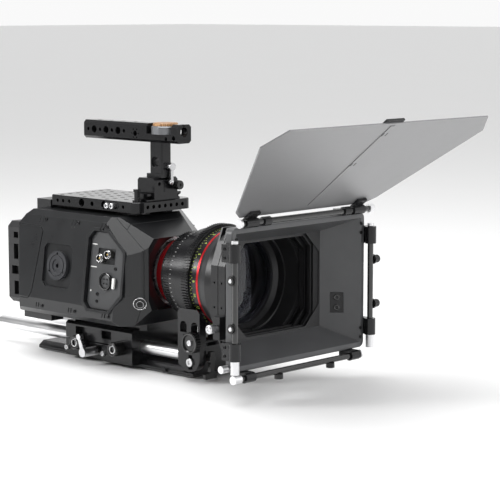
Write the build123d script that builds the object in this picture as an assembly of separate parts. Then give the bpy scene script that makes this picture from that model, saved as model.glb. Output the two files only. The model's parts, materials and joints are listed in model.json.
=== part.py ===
from build123d import *
import math
import os

# Cinema camera rig, millimetres.
# +X is forward along the lens axis, +Y is to the left of the operator, +Z is up.
# The origin is the main tripod thread in the dovetail plate's bottom face.

# ---- driving dimensions ----
AXIS_Z = 109.0                      # lens axis above the dovetail plate's bottom
FIT = 0.05                          # radial clearance of a running fit
CLEAR = 0.3                         # gap between pieces that move past each other

DOVETAIL_REAR = -107.0
DOVETAIL_FRONT = 150.0
DOVETAIL_HALF_WIDTH = 40.0
DOVETAIL_TOP_HALF = 33.0
DOVETAIL_TOP = 11.0
TRIPOD_THREAD_R = 4.0               # 3/8-16 thread, minor radius
SMALL_THREAD_R = 2.6                # 1/4-20 thread, minor radius

ROD_R = 7.5                         # 15 mm lightweight rods
ROD_HALF_SPACING = 30.0
ROD_Z = 24.0
ROD_REAR = -186.0
ROD_FRONT = 160.0

BASE_REAR = -47.0
BASE_FRONT = 64.0
BASE_HALF_WIDTH = 50.0
BASE_TOP = 44.0

BODY_REAR = -110.0
BODY_FRONT = 96.0
BODY_BOTTOM = 52.0
BODY_TOP = 171.0
SKIN = 2.6                          # wall of the body covers
SEAM = 0.4                          # visible seam between two covers
SIDE_SPLIT = 58.0                   # where the side covers meet the middle
SIDE_TILT = 7.3                     # degrees the side walls lean in towards the top

PLATE_REAR = -77.6
PLATE_FRONT = 67.2
PLATE_HALF_WIDTH = 43.5
PLATE_BOTTOM = 175.0
PLATE_TOP = 187.0

HANDLE_REAR = -55.5
HANDLE_FRONT = 97.5
HANDLE_HALF_WIDTH = 11.0
HANDLE_BOTTOM = 252.0
HANDLE_TOP = 273.0
POST_X = 60.0

FOCUS_GEAR_R = 59.0
LENS_FRONT_R = 57.0
LENS_FRONT_X = 191.0

SUPPORT_SHAFT_R = 3.2
WHEEL_X = 164.0
WHEEL_Z = 44.5
WHEEL_R = 11.5
PINION_R = 5.0

STAGE_X = 215.0
STAGE_THICK = 9.6
STAGE_HALF_WIDTH = 78.0
STAGE_HALF_HEIGHT = 66.0
STAGE_LOCK_X = 230.2
STAGE_LOCK_Z = 72.0
HOOD_BACK = 236.0
HOOD_FRONT = 270.6
HOOD_HALF_WIDTH = 104.3
HOOD_BOTTOM = 32.4
HOOD_TOP = 180.9
THROAT_HALF_WIDTH = 70.0
THROAT_HALF_HEIGHT = 52.5

FLAG_ROD_R = 3.2
FLAG_ROD_X = 276.8
SIDE_ROD_Y = 107.0
TOP_ROD_Z = 185.5
BOTTOM_ROD_Z = 27.0
FLAG_TILT = 38.4                    # degrees above level at rest
FLAG_LENGTH = 152.0
FLAG_ROOT_HALF = 110.0
FLAG_TIP_HALF = 186.0
FLAG_THICK = 1.6

os.makedirs("parts", exist_ok=True)


# ---- small helpers ----
def block(x, y, z):
    """A box between the two ends given for each axis."""
    size = [b - a for a, b in (x, y, z)]
    middle = [(a + b) / 2 for a, b in (x, y, z)]
    return Pos(*middle) * Box(*size)


def rod_x(x, r, y=0.0, z=AXIS_Z):
    """A cylinder along X between the two ends of x."""
    return Pos((x[0] + x[1]) / 2, y, z) * Rot(0, 90, 0) * Cylinder(r, abs(x[1] - x[0]))


def rod_y(y, r, x, z):
    """A cylinder along Y between the two ends of y."""
    return Pos(x, (y[0] + y[1]) / 2, z) * Rot(90, 0, 0) * Cylinder(r, abs(y[1] - y[0]))


def rod_z(z, r, x, y):
    """A cylinder along Z between the two ends of z."""
    return Pos(x, y, (z[0] + z[1]) / 2) * Cylinder(r, abs(z[1] - z[0]))


def tube_x(x, r_out, r_in, y=0.0, z=AXIS_Z):
    return rod_x(x, r_out, y, z) - rod_x((x[0] - 1, x[1] + 1), r_in, y, z)


def outline(points, inset=0.0):
    """A flat face through the points, pulled in by the inset."""
    face = Polygon(*points, align=None)
    if inset:
        face = offset(face, amount=-inset, kind=Kind.INTERSECTION)
    return face


def prism_x(points, x, inset=0.0):
    """The (y, z) outline stretched along X."""
    flat = outline(points, inset)
    return extrude(Plane.YZ.offset(x[0]) * flat, x[1] - x[0], dir=(1, 0, 0))


def prism_y(points, y, inset=0.0):
    """The (x, z) outline stretched along Y."""
    flat = outline(points, inset)
    return extrude(Plane.XZ.offset(-y[0]) * flat, y[1] - y[0], dir=(0, 1, 0))


def prism_z(points, z, inset=0.0):
    """The (x, y) outline stretched along Z."""
    flat = outline(points, inset)
    return extrude(Plane.XY.offset(z[0]) * flat, z[1] - z[0], dir=(0, 0, 1))


def revolve_x(points):
    """A (distance along X, radius) outline turned about the lens axis."""
    flat = Plane.XZ * outline([(x, r) for x, r in points])
    return Pos(0, 0, AXIS_Z) * revolve(flat, Axis.X)


def pieces(*shapes):
    """Separate solids kept apart in one node."""
    solids = []
    for shape in shapes:
        solids.extend(shape.solids())
    return Compound(children=solids)


def save(name, shape):
    export_step(shape, f"parts/{name}.step")


def screw_head(r, height, socket=0.5):
    """A cap screw's head standing on the XY plane, with a hexagon socket."""
    head = Pos(0, 0, height / 2) * Cylinder(r, height)
    hexagon = extrude(Pos(0, 0, height * 0.45) * RegularPolygon(r * socket, 6), height)
    return head - hexagon


# ---- local plane of the leaning right side wall ----
LEAN = math.radians(SIDE_TILT)
SIDE_OUT = Vector(0, -math.cos(LEAN), math.sin(LEAN))
SIDE_FOLD_Z = 71.0
SIDE_FOLD_Y = 79.0
SIDE_HEIGHT = 165.0 - SIDE_FOLD_Z
SIDE_TOP_Y = SIDE_FOLD_Y - SIDE_HEIGHT * math.tan(LEAN)
SIDE_ORIGIN = Vector(0, -(SIDE_FOLD_Y + SIDE_TOP_Y) / 2, SIDE_FOLD_Z + SIDE_HEIGHT / 2)
SIDE_PLANE = Plane(origin=SIDE_ORIGIN, x_dir=(1, 0, 0), z_dir=SIDE_OUT)


def on_side(x, z, out=0.0):
    """A place on the right side wall, given by X and height, lifted by out."""
    up = (z - SIDE_ORIGIN.Z) / math.cos(LEAN)
    return SIDE_PLANE * Pos(x, up, out)


def side_prism(points, out_from, out_to, inset=0.0):
    """An (x, z) outline drawn on the side wall and stretched square to it."""
    local = [(x, (z - SIDE_ORIGIN.Z) / math.cos(LEAN)) for x, z in points]
    flat = outline(local, inset)
    return extrude(SIDE_PLANE * Pos(0, 0, out_from) * flat, out_to - out_from, dir=SIDE_OUT)


# ---- camera body ----
BODY_SECTION = [(-70, BODY_BOTTOM), (-77, 58), (-SIDE_FOLD_Y, SIDE_FOLD_Z), (-SIDE_TOP_Y, 165),
                (-SIDE_TOP_Y + 6, BODY_TOP), (SIDE_TOP_Y - 6, BODY_TOP), (SIDE_TOP_Y, 165),
                (SIDE_FOLD_Y, SIDE_FOLD_Z), (77, 58), (70, BODY_BOTTOM)]
BODY_PLAN_RIGHT = [(BODY_REAR, -64), (BODY_REAR + 19, -83), (BODY_FRONT - 29, -82),
                   (BODY_FRONT - 11.4, -67.4), (BODY_FRONT - 4.9, -60.9), (BODY_FRONT, -54)]
BODY_PLAN = BODY_PLAN_RIGHT + [(x, -y) for x, y in reversed(BODY_PLAN_RIGHT)]
BODY_PROFILE = [(BODY_REAR, 60), (BODY_REAR + 8, BODY_BOTTOM), (BODY_FRONT - 19, BODY_BOTTOM),
                (BODY_FRONT, 71), (BODY_FRONT, 150), (52, BODY_TOP), (-88, BODY_TOP),
                (BODY_REAR, 150)]
CONNECTOR_SEAT = [(17, 147), (25, 155.5), (46.5, 155.5), (75, 134), (75, 88), (57, 69),
                  (24, 69), (17, 76)]
ROSETTE_X, ROSETTE_Z = -33.0, 111.0
SEAT_HALF, SEAT_CUT = 24.5, 5.0


def chamfered_square(cx, cz, half, cut):
    corners = []
    for sx, sz in ((-1, -1), (1, -1), (1, 1), (-1, 1)):
        near = (cx + sx * half, cz + sz * (half - cut))
        far = (cx + sx * (half - cut), cz + sz * half)
        corners += [near, far] if sx * sz > 0 else [far, near]
    return corners


ROSETTE_SEAT = chamfered_square(ROSETTE_X, ROSETTE_Z, SEAT_HALF, SEAT_CUT)


# planes that cut the corners of the nose, each by a point and its outward direction
NOSE_CUTS = [((48.3, -67.5, 160.6), (0.437, -0.677, 0.592)),
             ((57.0, 32.0, BODY_TOP), (0.55, 0.55, 0.63)),
             ((78.3, -73.7, 88.0), (0.656, -0.693, -0.300)),
             ((78.3, 73.7, 88.0), (0.656, 0.693, -0.300))]
NOSE_RECESS = [(-52.5, 90), (-52.5, 132), (-38, 150), (38, 150), (52.5, 132), (52.5, 90),
               (40, 70), (-40, 70)]


def body_form(inset):
    """The faceted body, pulled in by the inset, with its recesses."""
    form = prism_x(BODY_SECTION, (BODY_REAR - 5, BODY_FRONT + 5), inset)
    form &= prism_z(BODY_PLAN, (BODY_BOTTOM - 5, BODY_TOP + 5), inset)
    form &= prism_y(BODY_PROFILE, (-90, 90), inset)
    for place, outward in NOSE_CUTS:
        form -= Plane(origin=place, z_dir=outward) * Pos(0, 0, 100 - inset) * Box(300, 300, 200)
    form += block((-104 + inset, -80 - inset), (-42 + inset, 42 - inset), (150, 180.5 - inset))
    for side in (-1, 1):
        foot = sorted((side * (64 - inset), side * (46 + inset)))
        form += block((-104 + inset, -56 - inset), foot, (43.5 + inset, 58))
    form += side_prism(CONNECTOR_SEAT, -3, 1.4 - inset, inset - 3.4)
    form -= side_prism(CONNECTOR_SEAT, -5.0 - inset, 20, -inset)
    form -= side_prism(ROSETTE_SEAT, -3.2 - inset, 20, -inset)
    form -= prism_x(NOSE_RECESS, (BODY_FRONT - 8 - inset, 120), -inset)
    form -= block((-92 + inset, 40 - inset), (62 - inset, 90), (68 - inset, 152 + inset))
    return form


def camera_body():
    shell = body_form(0) - body_form(SKIN)
    shell -= rod_x((60, 120), 40)
    # the button and its bezel sit in the nose chamfer
    shell -= NOSE_BUTTON * Cylinder(7.6, 14)
    far = 200.0
    edge = SIDE_SPLIT + SEAM / 2
    inner = SIDE_SPLIT - SEAM / 2
    front_split = 66.0
    right = shell & block((-far, far), (-far, -edge), (0, 300))
    left = shell & block((-far, far), (edge, far), (0, 300))
    front = shell & block((front_split + SEAM, far), (-inner, inner), (0, 300))
    casting = shell & block((-far, front_split), (-inner, inner), (0, 300))

    # slanted grip notches beside each edge screw of the right cover
    for x in (-68, -13, 36):
        for step in (0, 5):
            notch = Box(1.8, 9, 3)
            right -= on_side(x + step, 160.5, 1) * Rot(0, 0, -20) * notch
    for x in (-66, -10, 46):
        for step in (0, 4):
            notch = Box(1.6, 6, 3)
            right -= Pos(x + step, -78.2, 63) * Rot(0, 20, 0) * Rot(90, 0, 0) * notch

    # a raised rear band wraps the back corner of the right cover
    band = [(-106, 76), (-99, 69), (-79, 69), (-73, 78), (-62, 148), (-66, 154), (-106, 154)]
    band_tool = side_prism(band, -30, 20)
    groove = band_tool & side_prism(band, -1.0, 20) & body_form(0)
    groove -= side_prism(band, -30, 30, 1.4)
    right -= groove

    # hinge ears and pin of the fold-out screen
    left += rod_z((69.5, 150.5), 1.5, 34, 71.5)
    for z in ((69.0, 76.0), (143.5, 150.5)):
        left += block((31, 39), (61, 74.5), z)

    save("side_cover_right", right)
    save("side_cover_left", left)
    save("front_cover", front)
    save("body_casting", casting)


NOSE_PLANE = Plane(origin=(88.5, -60.3, 79.4), x_dir=(1, 1, 0), z_dir=NOSE_CUTS[2][1])
NOSE_BUTTON = NOSE_PLANE.location


def camera_inside():
    frame = block((-90, 60), (-54, 54), (60, 64))
    frame += block((-90, 60), (-54, 54), (158, 162))
    frame += block((-90, -86), (-54, 54), (60, 162))
    frame += block((56, 60), (-54, 54), (60, 162))
    frame -= rod_x((50, 70), 36)
    frame &= body_form(SKIN + 0.5)
    for x in (-60, 40):
        for y in (-40, 40):
            frame += rod_z((54.6, 60.5), 5, x, y) + rod_z((161.5, 168.4), 5, x, y)
    save("inner_frame", frame)

    sensor = block((40, 44), (-26, 26), (88, 130)) + block((44, 47), (-16, 16), (98, 120))
    for y in (-22, 22):
        for z in (92, 126):
            sensor += rod_x((44, 56), 2.5, y, z)
    save("sensor_module", sensor)

    boards = [block((x, x + 1.6), (-46, 46), (70, 156)) for x in (-70, -50, -30, -10)]
    for y in (-40, 40):
        posts = rod_x((-86, 5), 2.4, y, 150) + rod_x((-86, 5), 2.4, y, 76)
        boards.append(posts)
    joined = boards[0]
    for board in boards[1:]:
        joined += board
    save("circuit_boards", joined)

    mount = tube_x((80, 86), 35, 27)
    mount += tube_x((76, 80), 38, 27)
    for angle in (20, 140, 260):
        tab = block((82, 84), (-7, 7), (AXIS_Z + 24.5, AXIS_Z + 28))
        mount += tab.rotate(Axis((0, 0, AXIS_Z), (1, 0, 0)), angle)
    mount += tube_x((60.2, 76), 35.5, 32)
    save("lens_mount", mount)


def side_fittings():
    # the panel lies 5 mm down in its seat
    panel = side_prism(CONNECTOR_SEAT, -5.0, -3.4, 1.0)
    window = [(30, 120), (58, 120), (58, 137), (30, 137)]
    panel -= side_prism(window, -6, 0)
    save("connector_panel", panel)

    sockets = []
    for x, z in ((38, 126), (50, 131)):
        barrel = Pos(0, 0, -1.9) * Cylinder(4.8, 6) + Pos(0, 0, 0.6) * Cylinder(4.0, 5)
        barrel -= Pos(0, 0, 1.0) * Cylinder(3.1, 5)
        barrel += Pos(0, 0, -0.4) * Cylinder(1.1, 4)
        for turn in (0, 180):
            barrel += Rot(0, 0, turn) * Pos(4.4, 0, 1.6) * Cylinder(0.8, 1.6)
        sockets.append(on_side(x, z, 0) * barrel)
    save("video_sockets", pieces(*sockets))

    shell = Pos(0, 0, -1.6) * Cylinder(9.4, 3.6) - Pos(0, 0, 0.4) * Cylinder(7.8, 4.2)
    insert = Pos(0, 0, -2.4) * Cylinder(7.4, 1.4)
    socket = shell + insert
    for turn in (45, 135, 225, 315):
        pin = Rot(0, 0, turn) * Pos(3.6, 0, -1.2) * Cylinder(0.9, 2.6)
        socket += pin
    save("power_socket", on_side(47.5, 101, 0) * socket)

    latch = Pos(0, 0, -0.4) * Box(3.2, 9, 2.0)
    for end in (-4.5, 4.5):
        latch += Pos(0, end, -0.4) * Cylinder(1.6, 2.0)
    save("power_latch", on_side(61.5, 100, 0) * latch)

    disc = Pos(0, 0, -0.9) * Cylinder(16.5, 4.4)
    disc -= Pos(0, 0, 1.2) * (Cylinder(12.6, 1.4) - Cylinder(11.4, 2))
    disc -= Pos(0, 0, 1.0) * Cylinder(7.4, 1.6)
    disc -= Cylinder(SMALL_THREAD_R, 10)
    for turn in (-30, 90, 210):
        disc -= Rot(0, 0, turn) * Pos(13.4, 0, 0.8) * Cylinder(1.5, 2)
    save("rosette_disc", on_side(ROSETTE_X, ROSETTE_Z, 0) * disc)

    bezel = Pos(0, 0, -1.0) * (Cylinder(7.4, 4.6) - Cylinder(5.6, 8))
    bezel += Pos(0, 0, -3.0) * (Cylinder(7.4, 0.8) - Cylinder(2.3, 2))
    save("record_bezel", NOSE_BUTTON * bezel)
    button = Pos(0, 0, -0.2) * Cylinder(5.3, 2.4) + Pos(0, 0, -3.5) * Cylinder(2.0, 6.0)
    button -= Pos(0, 0, 2.2) * Sphere(2.6)
    save("record_button", NOSE_BUTTON * button)


def left_screen():
    """The fold-out monitor on the operator's side, hinged along its front edge."""
    door = block((-90, 30), (66, 75), (72, 148))
    door = fillet(door.edges().filter_by(Axis.Y), 4)
    door -= block((-80, 20), (65, 67.2), (80, 140))
    knuckle = rod_z((80, 140), 4, 34, 71.5)
    door += knuckle
    door += block((28, 34), (69.5, 73.5), (80, 140))
    for z in ((68, 77.5), (142, 152)):
        door -= block((26, 40), (60, 80), z)
    door -= rod_z((70, 150), 1.55, 34, 71.5)
    save("screen_door", door)


def battery_parts():
    rear_wall = BODY_REAR - 0.2
    plate = block((-141, rear_wall - 2), (-56, 56), (56, 152))
    plate = chamfer(plate.edges().filter_by(Axis.X), 6)
    plate -= block((-128, -100), (-50, 50), (62, 146))
    plate += block((-128.5, rear_wall), (-30, 30), (84, 140))
    for side in (-1, 1):
        for z in ((66, 82), (90, 100), (108, 126), (133, 140)):
            slot = sorted((side * 49, side * 57))
            plate -= block((-135 if z[0] == 90 else -131, -123), slot, z)
    wedge = [(-16, 148), (16, 148), (11, 96), (-11, 96)]
    plate -= prism_x(wedge, (-146, -134))
    for y in (-40, 40):
        for z in (64, 144):
            plate -= rod_x((-142, -138), 3.2, y, z)
    plate -= block((-142, -133), (-48.5, -36), (92, 104))
    for y in (-6, -2, 2, 6):
        plate += block((-138, -133), (y - 0.8, y + 0.8), (106, 116))
    save("battery_plate", plate)

    catch = block((-140.5, -133.5), (-47.7, -36.3), (92.3, 100.5))
    save("battery_release", catch)


# ---- cheese plate and handle ----
def cheese_plate():
    plate = block((PLATE_REAR, PLATE_FRONT), (-PLATE_HALF_WIDTH, PLATE_HALF_WIDTH),
                  (PLATE_BOTTOM, PLATE_TOP))
    uprights = plate.edges().filter_by(Axis.Z).sort_by(Axis.X)
    plate = fillet(uprights[-2:], 11)
    plate = chamfer(plate.edges().filter_by(Axis.Z).sort_by(Axis.X)[:2], 2)
    plate = chamfer(plate.faces().sort_by(Axis.Z)[-1].edges(), 0.8)
    # threaded holes and slots in a grid through the top
    for row in range(-3, 4):
        for column in range(6):
            x = -66 + column * 19
            if (row + column) % 2:
                plate -= rod_z((174, 188), SMALL_THREAD_R, x, row * 12)
            elif abs(row) < 3:
                slot = block((x - 3.5, x + 3.5), (row * 12 - 1.6, row * 12 + 1.6), (174, 188))
                plate -= slot
    # holes along both long edges
    side_holes = ((-66, 2.0), (-56.5, 2.0), (-46, 2.0), (-24.7, 4.6), (-7, 2.6), (13, 4.6),
                  (44.5, 2.0))
    for x, r in side_holes:
        plate -= rod_y((-44, -38), r, x, 181)
        plate -= rod_y((38, 44), r, x, 181)
    for step in range(-3, 4):
        plate -= rod_x((61, 68), 2.2, step * 9, 181)
    for x in (-66, 24):
        for y in (-24, 24):
            plate += block((x, x + 22), (y - 8, y + 8), (BODY_TOP, PLATE_BOTTOM + 1))
    save("cheese_plate", plate)


def handle_parts():
    rail_section = [(46, 187), (64, 187), (64, 188.6), (61.5, 190.5), (65.5, 193), (65.5, 195.5),
                    (44.5, 195.5), (44.5, 193), (48.5, 190.5), (46, 188.6)]
    save("accessory_rail", prism_y(rail_section, (-26, 26)))

    base = block((41.5, 68.5), (-18, 18), (188.9, 212.6))
    base -= prism_y(rail_section, (-30, 30), -CLEAR)
    base -= block((48.6, 61.4), (-30, 30), (180, 196))
    base -= block((60, 70), (-3.3, -2.5), (196.5, 213))
    base = chamfer(base.faces().sort_by(Axis.Z)[-1].edges().filter_by(Axis.Y), 2.5)
    base -= rod_x((62, 70), 2.1, -10, 206)
    base -= rod_x((60, 70), 2.1, 12.5, 204)
    save("handle_clamp_base", base)

    post = block((POST_X - 10, POST_X + 10), (-7.5, 7.5), (212.6, HANDLE_BOTTOM))
    shoulder = block((POST_X - 13, POST_X + 10), (-9, 9), (212.6, 217))
    post = chamfer(post.edges().filter_by(Axis.Z), 1.5) + shoulder
    post -= rod_y((-10, 10), 5.0, POST_X - 0.5, 230)
    post -= rod_y((-8, -5.5), 6.4, POST_X - 0.5, 230)
    post -= rod_y((5.5, 8), 6.4, POST_X - 0.5, 230)
    post -= rod_x((66, 72), 2.55, 3.5, 225)
    save("handle_post", post)

    bar = block((HANDLE_REAR, HANDLE_FRONT), (-HANDLE_HALF_WIDTH, HANDLE_HALF_WIDTH),
                (HANDLE_BOTTOM, HANDLE_TOP))
    bar = chamfer(bar.edges().filter_by(Axis.X), 3)
    bar -= block((49, 88), (-12, 12), (261.5, 275))
    for step in range(7):
        r = 2.0 if step % 2 == 0 else 4.2
        bar -= rod_y((-12, 12), r, -48 + step * 10, 262.8)
    bar -= rod_y((-12, 12), 3.0, 30.4, 261)
    for turn in range(6):
        dx = 5.2 * math.cos(turn * math.pi / 3)
        dz = 5.2 * math.sin(turn * math.pi / 3)
        bar -= rod_y((-12, -8), 0.9, 30.4 + dx, 261 + dz)
        bar -= rod_y((8, 12), 0.9, 30.4 + dx, 261 + dz)
    bar -= rod_y((-12, 12), 2.0, 80, 256.8)
    bar -= rod_y((-12, -6), 2.6, 92, 258) + rod_y((6, 12), 2.6, 92, 258)
    bar -= rod_x((86, 99), 5.5, 0, 264.5)
    bar -= block((90, 99), (-0.8, 0.8), (265, 275))
    for x in (-40, -20, 0, 20):
        bar -= rod_z((268, 275), SMALL_THREAD_R, x, 0)
    save("handle_bar", bar)

    boss = rod_z((261.5, 270.5), 16, 68.5, 0)
    boss = chamfer(boss.edges().sort_by(Axis.Z)[-1], 1)
    save("handle_boss", boss & block((40, 100), (-15.5, 15.5), (250, 280)))
    disc = rod_z((270.6, 274.0), 14.2, 68.5, 0)
    disc = chamfer(disc.edges().sort_by(Axis.Z)[-1], 1)
    save("wood_disc", disc)

    # silver cam lever on the front of the post
    lever = rod_x((66.5, 70), 2.5, 3.5, 225) + rod_x((70.3, 76), 4.6, 3.5, 225)
    lever += rod_x((69.5, 70.8), 2.5, 3.5, 225)
    lever += block((71.5, 75), (1.6, 5.4), (207.5, 225))
    lever += Pos(73.3, 3.5, 207.5) * Sphere(3.2)
    save("handle_lever", lever)

    knob = rod_x((69.0, 79), 5.0, 12.5, 204) + rod_x((60.5, 69.2), 2.05, 12.5, 204)
    knob -= rod_x((77.8, 80), 1.6, 12.5, 204)
    save("handle_clamp_knob", knob)

    hook = rod_z((187.0, 189), 5.0, 56, -33) + rod_z((188, 199), 3.0, 56, -33)
    hook += rod_z((198, 201), 4.0, 56, -33)
    save("tape_hook", hook)


# ---- lens ----
def gear_ring(x, r_root, r_tip, count):
    """A toothed ring about the lens axis: square-topped teeth on a plain rim."""
    points = []
    pitch = 2 * math.pi / count
    for tooth in range(count):
        for share, r in ((-0.28, r_root), (-0.14, r_tip), (0.14, r_tip), (0.28, r_root)):
            angle = (tooth + share) * pitch
            points.append((r * math.cos(angle), AXIS_Z + r * math.sin(angle)))
    return prism_x(points, x)


def lens_parts():
    profile = [(86.3, 27), (86.3, 33), (104.2, 33), (104.2, 43.5), (108.6, 43.5),
               (108.6, 41), (120.6, 41), (120.6, 48.5), (126, 48.5), (126, 50), (132, 50),
               (133, 52.6), (148.8, 52.6), (148.8, 47), (172.2, 47), (172.2, 42), (180, 42),
               (180, 27)]
    save("lens_barrel", revolve_x(profile))
    collar = [(86.3, 33.05), (86.3, 34.6), (87, 35.2), (90.2, 35.2), (90.2, 33.05)]
    save("lens_collar", revolve_x(collar))
    band = [(90.4, 33.05), (90.4, 37), (92, 38), (103.2, 41.4), (104.1, 41.4), (104.1, 33.05)]

    iris = gear_ring((109.0, 119.0), 45.8, 47.4, 100)
    iris += rod_x((109.0, 120.2), 45.8)
    iris -= rod_x((100, 130), 41 + CLEAR)
    save("iris_ring", iris)

    focus = gear_ring((150.0, 158.2), FOCUS_GEAR_R - 2.0, FOCUS_GEAR_R, 118)
    focus += rod_x((149.4, 159.0), FOCUS_GEAR_R - 2.0)
    focus += revolve_x([(158.8, 46), (158.8, 54.6), (160.5, 54.2), (168.8, 54.2), (168.8, 46)])
    focus -= rod_x((140, 180), 47 + CLEAR)
    save("focus_ring", focus)

    red = [(169.2, 47.05), (169.2, 54.6), (171.9, 54.6), (171.9, 47.05)]
    save("lens_red_rings", pieces(revolve_x(band), revolve_x(red)))
    front = [(172.3, 42.05), (172.3, 54.6), (176, 55.6), (188, LENS_FRONT_R),
             (LENS_FRONT_X, LENS_FRONT_R), (LENS_FRONT_X, 53), (186, 49), (183, 48.4),
             (183, 42.05)]
    save("lens_front_barrel", revolve_x(front))

    glass = Pos(-52, 0, AXIS_Z) * Sphere(240) & rod_x((183.2, 189), 48.2)
    save("front_element", glass)


# ---- matte box ----
def octagon_outline(half_w, half_h, cut_w, cut_h):
    z0 = AXIS_Z - 1.0
    return [(-half_w, z0 - half_h + cut_h), (-half_w + cut_w, z0 - half_h),
            (half_w - cut_w, z0 - half_h), (half_w, z0 - half_h + cut_h),
            (half_w, z0 + half_h - cut_h), (half_w - cut_w, z0 + half_h),
            (-half_w + cut_w, z0 + half_h), (-half_w, z0 + half_h - cut_h)]


def matte_box_parts():
    adapter = revolve_x([(191.4, 52), (191.4, 57.6), (189, 57.6), (189, 62), (206, 62),
                         (210, 68), (214.8, 68), (214.8, 60), (200, 54), (200, 52)])
    ear_z = AXIS_Z - 69
    adapter += block((190, 204), (-6, 6), (ear_z - 5, ear_z + 9))
    adapter -= block((180, 206), (-0.8, 0.8), (ear_z - 6, AXIS_Z - 50))
    adapter -= rod_y((-8, 8), 2.25, 197, ear_z)
    save("lens_adapter", adapter)

    # two filter stages, each an eight-sided frame with a slot for a tray
    for index, name in enumerate(("rear_filter_stage", "front_filter_stage")):
        x0 = STAGE_X + index * (STAGE_THICK + 0.8)
        x1 = x0 + STAGE_THICK
        shape = octagon_outline(STAGE_HALF_WIDTH, STAGE_HALF_HEIGHT, 16, 38)
        stage = prism_x(shape, (x0, x1))
        hole = octagon_outline(60, 51, 10, 10) if index else octagon_outline(58, 50, 19, 19)
        stage -= prism_x(hole, (x0 - 1, x1 + 1))
        slot = block((x0 + 2.2, x1 - 2.2), (-67.4, 67.4), (AXIS_Z - 57.4, AXIS_Z + 80))
        stage -= slot
        for side in (-1, 1):
            for z in (76, 92, 118):
                stage -= rod_y((side * 76, side * 79), 1.2, (x0 + x1) / 2, z)
        if index:
            stage += block((x0, x1), (-86, -77), (60, 84))
            stage -= rod_y((-90, -76), 2.6, STAGE_LOCK_X, STAGE_LOCK_Z)
        save(name, stage)
        tray = prism_x(octagon_outline(67, 57, 4, 4), (x0 + 2.5, x1 - 2.5))
        tray = Pos(0, 0, 1) * tray
        tray -= prism_x(octagon_outline(58, 49, 12, 12), (x0, x1))
        tray += block((x0 + 2.5, x1 - 2.5), (-9, 9), (AXIS_Z + 56, AXIS_Z + 69))
        save(name.replace("stage", "tray"), tray)

    lock = rod_y((-97, -86.4), 4.6, STAGE_LOCK_X, STAGE_LOCK_Z)
    lock += rod_y((-87, -77), 2.55, STAGE_LOCK_X, STAGE_LOCK_Z)
    save("stage_lock_knob", lock)


def hood_solid(grow, x_front, x_back):
    """The flared hood's form between two X planes, grown outwards."""
    mid_z = (HOOD_TOP + HOOD_BOTTOM) / 2
    big = Rectangle(2 * (HOOD_HALF_WIDTH - 6 + grow), HOOD_TOP - HOOD_BOTTOM - 12 + 2 * grow)
    small = Rectangle(2 * (THROAT_HALF_WIDTH + grow), 2 * (THROAT_HALF_HEIGHT + grow))
    front_face = Plane(origin=(x_front, 0, mid_z), x_dir=(0, 1, 0), z_dir=(1, 0, 0)) * big
    back_face = Plane(origin=(x_back, 0, AXIS_Z - 1), x_dir=(0, 1, 0), z_dir=(1, 0, 0)) * small
    return loft([back_face.faces()[0], front_face.faces()[0]])


def hood():
    flare = hood_solid(3.0, HOOD_FRONT, HOOD_BACK)
    rim = block((HOOD_FRONT - 9, HOOD_FRONT), (-HOOD_HALF_WIDTH, HOOD_HALF_WIDTH),
                (HOOD_BOTTOM, HOOD_TOP))
    rim = fillet(rim.edges().filter_by(Axis.X), 7)
    rim = fillet(rim.faces().sort_by(Axis.X)[-1].edges(), 1.5)
    collar = prism_x([(-76, 50), (76, 50), (76, 166), (-76, 166)], (HOOD_BACK, HOOD_BACK + 4))
    solid = flare + rim + collar
    solid -= hood_solid(0.0, HOOD_FRONT + 0.01, HOOD_BACK - 0.01)
    # sunk service panel with two plugs in the far wall
    wall = Plane(origin=(250.4, 81.8, 81.8), x_dir=(0.774, 0.633, 0), z_dir=(0.633, -0.774, 0))
    solid -= wall * Box(15.2, 22.8, 2.4)
    for up in (-5.6, 5.6):
        plug = Cylinder(3.0, 1.4) - Cylinder(1.5, 4)
        solid += wall * Pos(0, up, -0.7) * plug
    save("hood", solid)


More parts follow.
